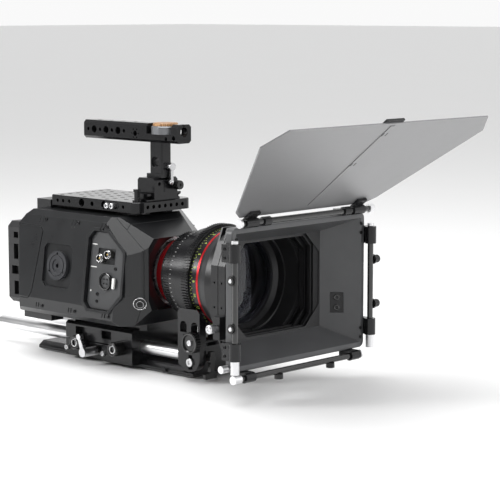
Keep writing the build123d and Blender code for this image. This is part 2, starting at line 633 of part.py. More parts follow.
def flag_rod_parts():
    rods = []
    for side in (-1, 1):
        rods.append(rod_z((36, 166), FLAG_ROD_R, FLAG_ROD_X, side * SIDE_ROD_Y))
    rods.append(rod_y((-98, 102), FLAG_ROD_R, FLAG_ROD_X, TOP_ROD_Z))
    rods.append(rod_y((-100, 88), FLAG_ROD_R, FLAG_ROD_X, BOTTOM_ROD_Z))
    save("flag_rods", pieces(*rods))

    clamps = []
    for side in (-1, 1):
        for z in ((46.5, 64.5), (147, 165.5)):
            y_out, y_in = side * 111.5, side * (HOOD_HALF_WIDTH + 0.1)
            arm = block((262.5, FLAG_ROD_X), sorted((y_out, y_in)), z)
            arm += rod_z(z, 6.2, FLAG_ROD_X, side * SIDE_ROD_Y)
            arm -= block((200, HOOD_FRONT + 0.1), (-HOOD_HALF_WIDTH, HOOD_HALF_WIDTH), (0, 300))
            arm -= rod_z((z[0] - 1, z[1] + 1), FLAG_ROD_R + FIT, FLAG_ROD_X, side * SIDE_ROD_Y)
            clamps.append(arm)
    for y in ((-94, -80), (72, 86)):
        arm = block((262.5, FLAG_ROD_X), y, (BOTTOM_ROD_Z - 4, HOOD_BOTTOM - 0.1))
        arm += rod_y(y, 5.2, FLAG_ROD_X, BOTTOM_ROD_Z)
        arm -= rod_y((y[0] - 1, y[1] + 1), FLAG_ROD_R + FIT, FLAG_ROD_X, BOTTOM_ROD_Z)
        clamps.append(arm)
    for y in ((-66, -56), (60, 70)):
        arm = block((263, FLAG_ROD_X - 2), y, (HOOD_TOP + 0.1, TOP_ROD_Z + 2))
        arm += rod_y(y, 4.8, FLAG_ROD_X, TOP_ROD_Z)
        arm -= rod_y((y[0] - 1, y[1] + 1), FLAG_ROD_R + FIT, FLAG_ROD_X, TOP_ROD_Z)
        clamps.append(arm)
    save("rod_clamps", pieces(*clamps))

    caps = []
    for side in (-1, 1):
        caps.append(rod_z((32.5, 36), 4.6, FLAG_ROD_X, side * SIDE_ROD_Y))
        caps[-1] += rod_z((36, 46.4), 4.6, FLAG_ROD_X, side * SIDE_ROD_Y)
        caps[-1] -= rod_z((36, 50), FLAG_ROD_R + FIT, FLAG_ROD_X, side * SIDE_ROD_Y)
        caps.append(rod_z((166.1, 169), 3.6, FLAG_ROD_X, side * SIDE_ROD_Y))
    for y, z in (((-100.5, -98.1), TOP_ROD_Z), ((102.1, 109), TOP_ROD_Z),
                 ((-110, -100.1), BOTTOM_ROD_Z), ((88.1, 90), BOTTOM_ROD_Z)):
        caps.append(rod_y(y, 4.6, FLAG_ROD_X, z))
    caps.append(rod_y((-113.5, -104.5), 3.9, 263, 36.5))
    save("rod_caps", pieces(*caps))

    screws = []
    for side in (-1, 1):
        for z in (80, 129):
            y = side * SIDE_ROD_Y
            washer = rod_y(sorted((y + side * 3.3, y + side * 5.3)), 5.4, FLAG_ROD_X, z)
            reach = 12 if side > 0 else 7.0
            grip = rod_y(sorted((y + side * 5.3, y + side * reach)), 4.2, FLAG_ROD_X, z)
            screws.append(washer + grip)
    for y in (-41, 41):
        grip = rod_z((BOTTOM_ROD_Z - 8, BOTTOM_ROD_Z - 3.3), 4.6, FLAG_ROD_X, y)
        screws.append(grip)
    save("flag_thumb_screws", pieces(*screws))


def top_flag():
    """The plate lies along its own plane, 6 mm above the rod that it swings on."""
    tilt = Plane(origin=(FLAG_ROD_X, 0, TOP_ROD_Z), x_dir=(math.cos(math.radians(FLAG_TILT)), 0,
                 math.sin(math.radians(FLAG_TILT))),
                 z_dir=(-math.sin(math.radians(FLAG_TILT)), 0, math.cos(math.radians(FLAG_TILT))))
    root, tip = 2.0, FLAG_LENGTH + 4.0
    half = [(root, FLAG_ROOT_HALF - 12), (root + 9, FLAG_ROOT_HALF), (tip - 26, FLAG_TIP_HALF - 11),
            (tip, FLAG_TIP_HALF - 30)]
    points = half + [(x, -y) for x, y in reversed(half)]
    sheet = extrude(tilt * Pos(0, 0, 6.0) * outline(points), FLAG_THICK, dir=tilt.z_dir)
    sheet += tilt * Pos(82, 0, 5.7) * Box(140, 7, 0.8)
    save("top_flag", sheet)

    fittings = [tilt * Pos(tip - 4, 0, 6.0 + FLAG_THICK + 1.2) * Box(14, 28, 2.4)]
    for y in (-84, 84):
        collar = rod_y((y - 9, y + 9), 5.0, FLAG_ROD_X, TOP_ROD_Z)
        foot = tilt * Pos(6, y, 4.3) * Box(14, 14, 3.2)
        ring = collar + foot
        ring -= rod_y((y - 12, y + 12), FLAG_ROD_R + FIT, FLAG_ROD_X, TOP_ROD_Z)
        fittings.append(ring)
    save("flag_fittings", pieces(*fittings))


# ---- base ----
def base_parts():
    section = [(-36, 0), (-DOVETAIL_HALF_WIDTH, 3), (-DOVETAIL_HALF_WIDTH, 6),
               (-DOVETAIL_TOP_HALF, DOVETAIL_TOP), (DOVETAIL_TOP_HALF, DOVETAIL_TOP),
               (DOVETAIL_HALF_WIDTH, 6), (DOVETAIL_HALF_WIDTH, 3), (36, 0)]
    ends = [(DOVETAIL_REAR, 3), (DOVETAIL_REAR + 9, 0), (DOVETAIL_FRONT - 6, 0),
            (DOVETAIL_FRONT, 4), (DOVETAIL_FRONT, DOVETAIL_TOP), (DOVETAIL_REAR, DOVETAIL_TOP)]
    plate = prism_x(section, (DOVETAIL_REAR, DOVETAIL_FRONT))
    plate &= prism_y(ends, (-60, 60))
    plate -= block((-80, -12), (-4, 4), (7, 12)) + block((12, 88), (-4, 4), (7, 12))
    plate -= rod_z((-1, 12), TRIPOD_THREAD_R, 0, 0)
    for x in (-70, 70):
        plate -= rod_z((-1, 12), TRIPOD_THREAD_R, x, 0)
    for x in (-35, 35):
        plate -= rod_z((-1, 12), SMALL_THREAD_R, x, 0)
    for side in (-1, 1):
        plate += rod_y((side * 39, side * 42.6), 2.6, 107, 4.6)
    save("dovetail_plate", plate)

    carriage = block((BASE_REAR, BASE_FRONT), (-BASE_HALF_WIDTH, BASE_HALF_WIDTH),
                     (4.5, BASE_TOP))
    carriage = chamfer(carriage.edges().filter_by(Axis.X).sort_by(Axis.Z)[-2:], 3)
    carriage -= prism_x(section, (-120, 120), -CLEAR)
    carriage -= block((-120, 120), (-39.5, 39.5), (-1, 4.6))
    for side in (-1, 1):
        y = side * ROD_HALF_SPACING
        carriage -= rod_x((-60, 80), ROD_R + FIT, y, ROD_Z)
        outer = sorted((side * (BASE_HALF_WIDTH - 12), side * (BASE_HALF_WIDTH + 1)))
        carriage -= block((-60, 80), outer, (ROD_Z - 0.6, ROD_Z + 0.6))
        pocket = sorted((side * (BASE_HALF_WIDTH - 7), side * (BASE_HALF_WIDTH + 1)))
        for x in ((-30, -10), (14, 30)):
            carriage -= block(x, pocket, (30, 39))
    carriage -= block((-14, 14), (-51, -43), (4, 22))
    for x in (-18.5, 45.5):
        carriage -= rod_y((-51, -40), 2.6, x, 22.5)
    riser = block((-50, 70), (-38, 38), (BASE_TOP - 1, BODY_BOTTOM))
    carriage += chamfer(riser.edges().filter_by(Axis.Z), 6)
    save("baseplate", carriage)

    for name, x in (("rod_knob_rear", -18.5), ("rod_knob_front", 45.5)):
        head = rod_y((-63, -50.6), 8.2, x, 22.5)
        head -= rod_y((-64, -61.5), 5.4, x, 22.5)
        for turn in range(8):
            dx = 9.4 * math.cos(turn * math.pi / 4)
            dz = 9.4 * math.sin(turn * math.pi / 4)
            head -= rod_y((-65, -50), 2.2, x + dx, 22.5 + dz)
        save(name, head + rod_y((-51, -41), 2.55, x, 22.5))

    hub = rod_y((-72, -43.6), 5.2, 5, 15)
    arm = prism_y([(1.8, 15), (8.2, 15), (0.8, 32), (-4.2, 32)], (-71, -66.5))
    arm += rod_y((-71.5, -66), 3.4, -1.7, 32)
    save("dovetail_lever", hub + arm)

    bars = [rod_x((ROD_REAR, ROD_FRONT), ROD_R, side * ROD_HALF_SPACING, ROD_Z)
            for side in (-1, 1)]
    bars = [chamfer(bar.edges().filter_by(GeomType.CIRCLE), 0.8) for bar in bars]
    save("rods_15mm", pieces(*bars))


def lens_support():
    block_part = block((130, 162), (-42.6, 42.6), (12, 37))
    block_part = chamfer(block_part.edges().filter_by(Axis.X), 3)
    for y in (-ROD_HALF_SPACING, ROD_HALF_SPACING):
        block_part -= rod_x((120, 161), ROD_R + FIT, y, ROD_Z)
    block_part -= block((133.7, 145.3), (-12.3, 12.3), (0, 60))
    block_part -= block((145, 159.4), (-5.4, 5.4), (17, 60))
    block_part -= rod_x((160.2, 166), 2.55, -38.0, 26)
    save("support_block", block_part)

    bracket = block((140, 173), (-53, -43), (27.6, 80))
    bracket = chamfer(bracket.edges().filter_by(Axis.Y).sort_by(Axis.Z)[-2:], 3.5)
    bracket += rod_y((-53, -43), 16.5, 156.5, 27.6)
    bracket -= rod_x((138, 175), FOCUS_GEAR_R + 0.5)
    for x in (148.5, 165.2):
        bracket -= block((x - 5.1, x + 5.1), (-54, -42), (54, 61))
        bracket -= rod_y((-54, -42), 5.1, x, 61)
    bracket -= block((148.5, 157.5), (-54, -42), (36, 52))
    bracket -= block((156, 162.4), (-54, -50), (14, 30))
    bracket -= rod_y((-54, -42), SUPPORT_SHAFT_R + 0.1, WHEEL_X, WHEEL_Z)
    save("support_bracket", bracket)

    cradle_top = AXIS_Z - 52.6 - CLEAR
    post = block((134, 145), (-12, 12), (24, cradle_top + 6))
    post += prism_x([(-12, 49.5), (12, 49.5), (24, 62), (-24, 62)], (134, 145))
    post -= rod_x((120, 170), 52.6 + CLEAR)
    # the toothed bar that the wheel's pinion drives
    post += block((144, WHEEL_X - PINION_R - 0.1), (-5, 5), (30, 49))
    save("support_slide", post)

    wheel = rod_y((-60, -53.4), WHEEL_R, WHEEL_X, WHEEL_Z)
    wheel -= rod_y((-61, -58.8), WHEEL_R - 2.6, WHEEL_X, WHEEL_Z)
    for turn in range(24):
        dx = (WHEEL_R + 0.2) * math.cos(turn * math.pi / 12)
        dz = (WHEEL_R + 0.2) * math.sin(turn * math.pi / 12)
        wheel -= rod_y((-61, -50), 0.9, WHEEL_X + dx, WHEEL_Z + dz)
    wheel += rod_y((-54, 10), SUPPORT_SHAFT_R, WHEEL_X, WHEEL_Z)
    wheel += rod_y((-9, 9), PINION_R, WHEEL_X, WHEEL_Z)
    save("support_wheel", wheel)

    lever = rod_x((164.5, 178), 4.6, -38.0, 26) + rod_x((160.5, 166), 2.5, -38.0, 26)
    lever += prism_x([(-41, 34), (-35, 34), (-35, 9), (-41, 9)], (173.4, 178))
    foot = block((173.4, 178), (-49, -31), (4.5, 11))
    lever += chamfer(foot.edges().filter_by(Axis.X), 1.5)
    save("support_lever", lever)


# ---- screws ----
def small_screws():
    screws = [Pos(159.2, -53.0, 22) * Rot(90, 0, 0) * screw_head(4.6, 2.6)]
    screws.append(Pos(197, -6, AXIS_Z - 69) * Rot(90, 0, 0) * screw_head(3.4, 3.0))
    for x in (-58, -3, 45):
        screws.append(on_side(x, 161.3, 0.15) * screw_head(2.0, 1.0))
    for x in (-56, 0, 56):
        screws.append(Pos(x, -78.3, 62.5) * Rot(90, 0, 0) * screw_head(1.8, 0.9))
    for x, z in ((60, 116), (34, 86), (34, 78)):
        screws.append(on_side(x, z, -3.4) * screw_head(1.9, 1.0))
    for x in (21, 29.5):
        screws.append(Pos(x, -PLATE_HALF_WIDTH, 181) * Rot(90, 0, 0) * screw_head(3.4, 5.0))
    for x in (-44, 17.4):
        screws.append(Pos(x, -BASE_HALF_WIDTH, 13) * Rot(90, 0, 0) * screw_head(3.0, 3.0))
    for side in (-1, 1):
        for z in (51, 60, 151.5, 160.5):
            turn = Rot(90, 0, 0) if side < 0 else Rot(-90, 0, 0)
            screws.append(Pos(266.5, side * 111.5, z) * turn * screw_head(1.7, 1.0))
    for y, z in ((-40, 64), (40, 64), (-40, 144), (40, 144)):
        screws.append(Pos(-138, y, z) * Rot(0, -90, 0) * screw_head(3.0, 2.6))
    for y in (-98, 98):
        for z in (44, 54, 159, 169):
            screws.append(Pos(HOOD_FRONT, y, z) * Rot(0, 90, 0) * screw_head(1.9, 0.9))
    save("small_screws", pieces(*screws))


camera_body()
camera_inside()
side_fittings()
left_screen()
battery_parts()
cheese_plate()
handle_parts()
lens_parts()
matte_box_parts()
hood()
flag_rod_parts()
top_flag()
base_parts()
lens_support()
small_screws()
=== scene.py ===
"""Looks for the cinema camera rig: finishes, fine fittings, floor, lamps and camera."""
import json
import math

import bmesh
import bpy
import numpy as np
from mathutils import Euler, Matrix, Vector


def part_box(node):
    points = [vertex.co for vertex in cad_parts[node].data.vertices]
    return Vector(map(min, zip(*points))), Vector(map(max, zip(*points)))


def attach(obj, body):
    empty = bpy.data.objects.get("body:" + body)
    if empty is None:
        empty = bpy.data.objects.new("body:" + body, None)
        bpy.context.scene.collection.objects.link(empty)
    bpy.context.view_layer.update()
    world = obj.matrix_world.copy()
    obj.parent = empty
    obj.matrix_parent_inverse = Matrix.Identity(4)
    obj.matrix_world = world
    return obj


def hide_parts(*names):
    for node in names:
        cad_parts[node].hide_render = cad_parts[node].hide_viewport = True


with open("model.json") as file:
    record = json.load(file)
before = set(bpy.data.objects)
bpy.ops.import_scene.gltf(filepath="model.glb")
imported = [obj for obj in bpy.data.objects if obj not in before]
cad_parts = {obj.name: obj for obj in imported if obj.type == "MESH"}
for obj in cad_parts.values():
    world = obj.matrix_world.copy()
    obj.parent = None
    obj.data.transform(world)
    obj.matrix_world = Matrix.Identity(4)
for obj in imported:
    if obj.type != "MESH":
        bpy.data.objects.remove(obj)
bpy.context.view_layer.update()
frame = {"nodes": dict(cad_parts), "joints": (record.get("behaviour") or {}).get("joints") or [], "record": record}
NODES = frame["nodes"]
MM = 0.001
X, Y, Z = Vector((1, 0, 0)), Vector((0, 1, 0)), Vector((0, 0, 1))

FLAG_TILT = math.radians(38.4)         # the flag's plane above level at rest
FLAG_SLOT_REACH = (86.0, 138.0)        # slot pairs along the flag, mm from its rod
FIGURE_RADIUS = 54.25                  # focus scale, mm from the lens axis
STOP_RADIUS, STOP_X = 43.55, 106.6     # stop scale, mm
MARK_RADIUS, MARK_X = 48.55, 123.5     # barrel marks, mm
HOOD_PANEL = (14.4, -22.5, 49.4)       # service panel from the hood's back, left side and bottom, mm
HOOD_PANEL_OUT = Vector((0.633, -0.774, 0)).normalized()
HOOD_PANEL_ALONG = Vector((0.774, 0.633, 0))
CAMERA_PLACE = (1.5318, -1.4228, 0.4014)
CAMERA_LOOK = Vector((-0.678146, 0.723064, -0.131547))
CAMERA_UP = Vector((-0.08999, 0.09595, 0.99132))
CAMERA_LENS, CAMERA_FILM = 131.7, 36.0
LAMPS = (("top_softbox", (-0.1, -0.2, 1.9), 1.5, 26),
         ("left_softbox", (-0.55, -0.95, 0.62), 0.35, 9),
         ("front_strip", (2.3, 0.9, 0.9), 0.9, 14))


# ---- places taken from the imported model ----
def mount(name):
    """A mount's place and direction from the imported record."""
    row = next(m for m in frame["record"]["mounts"] if m["name"] == name)
    return Vector(row["pos_m"]), Vector(row["axis"])


def middle(node):
    low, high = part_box(node)
    return (low + high) / 2


def joint_place(name):
    return Vector(next(j for j in frame["joints"] if j["name"] == name)["pos_m"])


def islands(node):
    """Vertex groups of a node's separate solids, as arrays of points."""
    source = NODES[node].data
    bm = bmesh.new()
    bm.from_mesh(source)
    bmesh.ops.remove_doubles(bm, verts=bm.verts, dist=1e-6)
    seen, found = set(), []
    for start in bm.verts:
        if start.index in seen:
            continue
        stack, group = [start], []
        seen.add(start.index)
        while stack:
            vert = stack.pop()
            group.append(vert.co.copy())
            for edge in vert.link_edges:
                other = edge.other_vert(vert)
                if other.index not in seen:
                    seen.add(other.index)
                    stack.append(other)
        found.append(np.array(group))
    bm.free()
    return found


LENS_AXIS = middle("focus_ring")
LENS_AXIS.x = 0
SIDE_PLACE, SIDE_OUT = mount("rosette_thread")
SIDE_UP = SIDE_OUT.cross(X).normalized()
if SIDE_UP.z < 0:
    SIDE_UP.negate()


# ---- finishes ----
def link(tree, source, target):
    tree.links.new(source, target)


def node(tree, kind, **values):
    made = tree.nodes.new(kind)
    for key, value in values.items():
        if key.startswith("in_"):
            made.inputs[int(key[3:])].default_value = value
        else:
            setattr(made, key, value)
    return made


def finish(name, tone, rough, metal=0.0, grain=900.0, depth=0.03, stretch=(1, 1, 1), mottle=0.18,
           blotch=45.0, spread=0.08, edge=0.35, edge_tone=None, round_off=0.25, coat=0.0,
           specular=0.5):
    """A procedural finish: mottled tone, uneven gloss, fine grain, and rounded edges painted lighter, partly as
    rubbed wear and partly as a painted highlight.
    """
    made = bpy.data.materials.new(name)
    made.use_nodes = True
    tree = made.node_tree
    shader = tree.nodes["Principled BSDF"]
    shader.inputs["Metallic"].default_value = metal
    shader.inputs["Specular IOR Level"].default_value = specular
    shader.inputs["Coat Weight"].default_value = coat
    shader.inputs["Coat Roughness"].default_value = 0.08

    place = node(tree, "ShaderNodeTexCoord")
    lay = node(tree, "ShaderNodeMapping")
    lay.inputs["Scale"].default_value = stretch
    link(tree, place.outputs["Object"], lay.inputs["Vector"])
    fine = node(tree, "ShaderNodeTexNoise")
    fine.inputs["Scale"].default_value = grain
    fine.inputs["Detail"].default_value = 4.0
    link(tree, lay.outputs["Vector"], fine.inputs["Vector"])
    broad = node(tree, "ShaderNodeTexNoise")
    broad.inputs["Scale"].default_value = blotch
    broad.inputs["Detail"].default_value = 5.0
    link(tree, place.outputs["Object"], broad.inputs["Vector"])

    low = [c * (1 - mottle) for c in tone] + [1]
    high = [min(c * (1 + mottle), 1) for c in tone] + [1]
    tones = node(tree, "ShaderNodeMix", data_type="RGBA")
    for socket in tones.inputs:
        if socket.name == "A" and socket.type == "RGBA":
            socket.default_value = low
        if socket.name == "B" and socket.type == "RGBA":
            socket.default_value = high
    link(tree, broad.outputs["Fac"], tones.inputs["Factor"])

    # where the rounded normal leaves the face's own normal, the edge is painted lighter: partly rubbed wear,
    # partly a painted highlight along the edge
    rounded = node(tree, "ShaderNodeBevel", samples=4)
    rounded.inputs["Radius"].default_value = round_off * MM
    own = node(tree, "ShaderNodeNewGeometry")
    agree = node(tree, "ShaderNodeVectorMath", operation="DOT_PRODUCT")
    link(tree, rounded.outputs["Normal"], agree.inputs[0])
    link(tree, own.outputs["Normal"], agree.inputs[1])
    edge_wear_and_highlight = node(tree, "ShaderNodeMapRange")
    edge_wear_and_highlight.inputs["From Min"].default_value = 0.995
    edge_wear_and_highlight.inputs["From Max"].default_value = 0.80
    edge_wear_and_highlight.inputs["To Max"].default_value = edge
    link(tree, agree.outputs["Value"], edge_wear_and_highlight.inputs["Value"])
    wear_and_highlight_tone = node(tree, "ShaderNodeMix", data_type="RGBA")
    edge_tone = edge_tone or [min(c * 2.6 + 0.03, 1) for c in tone]
    for socket in wear_and_highlight_tone.inputs:
        if socket.name == "B" and socket.type == "RGBA":
            socket.default_value = list(edge_tone) + [1]
    link(tree, edge_wear_and_highlight.outputs["Result"], wear_and_highlight_tone.inputs["Factor"])
    first = next(s for s in wear_and_highlight_tone.inputs if s.name == "A" and s.type == "RGBA")
    result = next(s for s in wear_and_highlight_tone.outputs if s.type == "RGBA")
    link(tree, next(s for s in tones.outputs if s.type == "RGBA"), first)
    link(tree, result, shader.inputs["Base Color"])

    gloss = node(tree, "ShaderNodeMapRange")
    gloss.inputs["To Min"].default_value = max(rough - spread, 0.02)
    gloss.inputs["To Max"].default_value = min(rough + spread, 1.0)
    mixed = node(tree, "ShaderNodeMath", operation="ADD")
    half = node(tree, "ShaderNodeMath", operation="MULTIPLY", in_1=0.5)
    link(tree, broad.outputs["Fac"], mixed.inputs[0])
    link(tree, fine.outputs["Fac"], mixed.inputs[1])
    link(tree, mixed.outputs[0], half.inputs[0])
    link(tree, half.outputs[0], gloss.inputs["Value"])
    link(tree, gloss.outputs["Result"], shader.inputs["Roughness"])

    bump = node(tree, "ShaderNodeBump")
    bump.inputs["Strength"].default_value = 1.0
    bump.inputs["Distance"].default_value = depth * MM
    link(tree, fine.outputs["Fac"], bump.inputs["Height"])
    link(tree, rounded.outputs["Normal"], bump.inputs["Normal"])
    link(tree, bump.outputs["Normal"], shader.inputs["Normal"])
    return made


def glass(name, near, far):
    """Coated optical glass: the coating's tint drifts slowly over a smooth face."""
    made = bpy.data.materials.new(name)
    made.use_nodes = True
    tree = made.node_tree
    shader = tree.nodes["Principled BSDF"]
    shader.inputs["Transmission Weight"].default_value = 1.0
    shader.inputs["Roughness"].default_value = 0.0
    shader.inputs["IOR"].default_value = 1.45
    place = node(tree, "ShaderNodeTexCoord")
    drift = node(tree, "ShaderNodeTexNoise")
    drift.inputs["Scale"].default_value = 14.0
    link(tree, place.outputs["Object"], drift.inputs["Vector"])
    tints = node(tree, "ShaderNodeValToRGB")
    tints.color_ramp.elements[0].color = near + (1,)
    tints.color_ramp.elements[1].color = far + (1,)
    link(tree, drift.outputs["Fac"], tints.inputs["Fac"])
    link(tree, tints.outputs["Color"], shader.inputs["Base Color"])
    return made


def wood(name, dark, light):
    """Oiled wood with rings that cross the disc."""
    made = finish(name, light, 0.42, grain=1500, depth=0.05, stretch=(0.15, 1, 1), edge=0.1)
    tree = made.node_tree
    rings = node(tree, "ShaderNodeTexWave", wave_type="BANDS", bands_direction="Y")
    rings.inputs["Scale"].default_value = 190.0
    rings.inputs["Distortion"].default_value = 5.0
    rings.inputs["Detail"].default_value = 3.0
    rings.inputs["Detail Scale"].default_value = 0.6
    place = next(n for n in tree.nodes if n.type == "TEX_COORD")
    link(tree, place.outputs["Object"], rings.inputs["Vector"])
    shades = node(tree, "ShaderNodeValToRGB")
    shades.color_ramp.elements[0].color = dark + (1,)
    shades.color_ramp.elements[1].color = light + (1,)
    link(tree, rings.outputs["Fac"], shades.inputs["Fac"])
    link(tree, shades.outputs["Color"], tree.nodes["Principled BSDF"].inputs["Base Color"])
    return made


TURNED = (1, 0.02, 0.02)
F = {
    # the body's strong edge setting paints light along its facets: a painted highlight as well as wear
    "body_shell": finish("body_paint", (0.0100, 0.0105, 0.0115), 0.30, grain=2600, depth=0.02, mottle=0.2,
                         edge=0.75, round_off=0.45, specular=0.45),
    "bare_alloy": finish("bare_alloy", (0.50, 0.51, 0.53), 0.4, 0.9, grain=700),
    "sensor": finish("sensor_glass", (0.02, 0.04, 0.07), 0.1, coat=0.6),
    "board": finish("solder_mask", (0.01, 0.12, 0.05), 0.35, grain=500, depth=0.05),
    "steel_satin": finish("satin_steel", (0.62, 0.62, 0.63), 0.27, 1.0, grain=1500, depth=0.006,
                          stretch=(1, 1, 0.1), mottle=0.06, edge_tone=(0.85, 0.85, 0.86)),
    "panel_black": finish("panel_plastic", (0.012, 0.012, 0.013), 0.5, grain=3200, depth=0.02),
    "latch_white": finish("latch_white", (0.74, 0.74, 0.72), 0.35, mottle=0.05, grain=600, depth=0.01),
    "rosette_grey": finish("rosette_finish", (0.035, 0.036, 0.040), 0.36, 0.3, grain=1800, depth=0.02),
    "chrome_trim": finish("polished_trim", (0.80, 0.80, 0.81), 0.14, 1.0, grain=900, depth=0.002,
                          mottle=0.03, spread=0.04),
    "battery_black": finish("battery_plastic", (0.011, 0.011, 0.012), 0.46, grain=2400, depth=0.03),
    "anodised_black": finish("black_anodised", (0.009, 0.009, 0.010), 0.22, 0.25, grain=3000,
                             depth=0.015, edge=0.45),
    "boss_grey": finish("boss_grey", (0.20, 0.205, 0.215), 0.34, 0.7, grain=1500, depth=0.01),
    "wood": wood("oiled_wood", (0.19, 0.085, 0.03), (0.46, 0.25, 0.105)),
    "knob_black": finish("knob_black", (0.008, 0.008, 0.008), 0.26, grain=2400, depth=0.02),
    "lens_black": finish("lens_black", (0.008, 0.008, 0.009), 0.24, 0.2, grain=2600, depth=0.010,
                         stretch=TURNED, edge=0.35),
    "red_anodised": finish("red_anodised", (0.50, 0.012, 0.018), 0.28, 0.65, grain=2600, depth=0.006,
                           stretch=TURNED, edge=0.15),
    "lens_grey": finish("barrel_grey", (0.035, 0.035, 0.037), 0.33, 0.35, grain=2600, depth=0.010,
                        stretch=TURNED),
    "coated_glass": glass("coated_glass", (0.34, 0.38, 0.44), (0.42, 0.40, 0.47)),
    "stage_black": finish("stage_black", (0.011, 0.011, 0.012), 0.34, 0.25, grain=2800, depth=0.015,
                          edge=0.5),
    "tray_black": finish("tray_plastic", (0.014, 0.014, 0.015), 0.42, grain=2400, depth=0.02),
    "hood_black": finish("hood_plastic", (0.072, 0.073, 0.076), 0.40, grain=2200, depth=0.03,
                         edge=0.3),
    "rod_black": finish("rod_gloss", (0.010, 0.010, 0.010), 0.13, grain=900, depth=0.002, coat=0.5),
    "cap_silver": finish("cap_silver", (0.78, 0.78, 0.79), 0.32, 0.85, grain=1400, depth=0.006,
                         mottle=0.05),
    "flag_grey": finish("flag_satin", (0.27, 0.27, 0.275), 0.36, 0.55, grain=1100, depth=0.006,
                        stretch=(1, 0.08, 1), mottle=0.10, blotch=12),
    "rod_steel": finish("rod_stainless", (0.86, 0.86, 0.87), 0.30, 1.0, grain=2400, depth=0.006,
                        stretch=(0.03, 1, 1), mottle=0.04, edge_tone=(0.9, 0.9, 0.9)),
    "plate_gloss": finish("plate_anodised", (0.012, 0.012, 0.013), 0.15, 0.35, grain=3000, depth=0.008,
                          edge=0.5),
    "panel_grey": finish("panel_grey", (0.040, 0.041, 0.043), 0.42, grain=3000, depth=0.02),
    "socket_dark": finish("socket_plating", (0.16, 0.155, 0.15), 0.30, 0.9, grain=1400, depth=0.006),
    "screw_black": finish("blackened_steel", (0.022, 0.022, 0.023), 0.28, 0.7, grain=1600, depth=0.008,
                          edge=0.6),
    "brass": finish("contact_brass", (0.60, 0.42, 0.16), 0.3, 1.0, grain=1200, depth=0.006),
    "scale_green": finish("scale_paint_green", (0.50, 0.62, 0.10), 0.5, grain=1500, depth=0.004,
                          edge=0.0),
    "scale_white": finish("scale_paint_white", (0.72, 0.72, 0.70), 0.5, grain=1500, depth=0.004,
                          edge=0.0),
    "floor": finish("studio_floor", (0.88, 0.88, 0.88), 0.6, grain=60, depth=0.05, mottle=0.01,
                    blotch=2, edge=0.0, round_off=0.01),
}
for row in frame["record"]["subparts"]:
    piece = NODES[row["node"]]
    piece.data.materials.clear()
    piece.data.materials.append(F[row["material_slot"]])
for node_name, finish_name in (("cheese_plate", "plate_gloss"), ("handle_bar", "plate_gloss"),
                               ("connector_panel", "panel_grey"), ("video_sockets", "socket_dark"),
                               ("record_bezel", "panel_black"), ("lens_collar", "cap_silver")):
    NODES[node_name].data.materials[0] = F[finish_name]


# ---- mesh helpers ----
def settle(mesh, angle=35):
    """Smooth shading with the real edges kept sharp."""
    for face in mesh.polygons:
        face.use_smooth = True
    mesh.set_sharp_from_angle(angle=math.radians(angle))
    return mesh


def placed(place, axis=Z, across=None):
    """A matrix that stands +Z along the axis at the place, with +X along across."""
    axis = Vector(axis).normalized()
    if across is None:
        turn = Z.rotation_difference(axis).to_matrix()
    else:
        side = (Vector(across) - axis * axis.dot(Vector(across))).normalized()
        turn = Matrix((side, axis.cross(side), axis)).transposed()
    return Matrix.Translation(Vector(place)) @ turn.to_4x4()


def turned(profile, place=(0, 0, 0), axis=Z, sides=64):
    """A lathe shape from a (height, radius) outline in millimetres; ends on the axis are closed."""
    bm = bmesh.new()
    rings = []
    for height, radius in profile:
        if radius <= 0:
            rings.append([bm.verts.new((0, 0, height * MM))])
            continue
        ring = []
        for step in range(sides):
            angle = 2 * math.pi * step / sides
            ring.append(bm.verts.new((radius * MM * math.cos(angle), radius * MM * math.sin(angle),
                                      height * MM)))
        rings.append(ring)
    pairs = list(zip(rings, rings[1:]))
    if len(rings[0]) > 1 and len(rings[-1]) > 1:
        pairs.append((rings[-1], rings[0]))
    for a, b in pairs:
        for step in range(sides):
            follow = (step + 1) % sides
            corners = [a[step % len(a)], a[follow % len(a)], b[follow % len(b)], b[step % len(b)]]
            unique = list(dict.fromkeys(corners))
            if len(unique) > 2:
                bm.faces.new(unique)
    bmesh.ops.recalc_face_normals(bm, faces=bm.faces)
    bm.transform(placed(place, axis))
    mesh = bpy.data.meshes.new("turned")
    bm.to_mesh(mesh)
    bm.free()
    return settle(mesh)


def bar_shape(length, width, height, chamfer=0.12):
    """A small bar centred on the origin, in millimetres, with eased edges."""
    bm = bmesh.new()
    bmesh.ops.create_cube(bm, size=1.0)
    bm.transform(Matrix.Diagonal((length * MM, width * MM, height * MM, 1)))
    ease = chamfer * min(length, width, height) * MM
    bmesh.ops.bevel(bm, geom=bm.edges[:], offset=ease, segments=1, affect="EDGES")
    mesh = bpy.data.meshes.new("bar")
    bm.to_mesh(mesh)
    bm.free()
    return mesh


def screw_shape():
    """A cap head of radius 1 and height 1 with an eased rim and a hexagon socket."""
    bm = bmesh.new()
    sides = 24
    rings = []
    for height, radius in ((0, 1.0), (0.86, 1.0), (0.97, 0.94), (1.0, 0.86)):
        rings.append([bm.verts.new((radius * math.cos(2 * math.pi * s / sides),
                                    radius * math.sin(2 * math.pi * s / sides), height))
                      for s in range(sides)])
    for height in (1.0, 0.45):
        ring = []
        for s in range(sides):
            angle = 2 * math.pi * s / sides
            corner = (angle + math.pi / 6) % (math.pi / 3) - math.pi / 6
            radius = 0.52 * math.cos(math.pi / 6) / math.cos(corner)
            ring.append(bm.verts.new((radius * math.cos(angle), radius * math.sin(angle), height)))
        rings.append(ring)
    for a, b in zip(rings, rings[1:]):
        for s in range(sides):
            bm.faces.new((a[s], a[(s + 1) % sides], b[(s + 1) % sides], b[s]))
    bm.faces.new(rings[-1])
    bm.faces.new(list(reversed(rings[0])))
    bmesh.ops.recalc_face_normals(bm, faces=bm.faces)
    mesh = bpy.data.meshes.new("screw")
    bm.to_mesh(mesh)
    bm.free()
    return settle(mesh, 25)


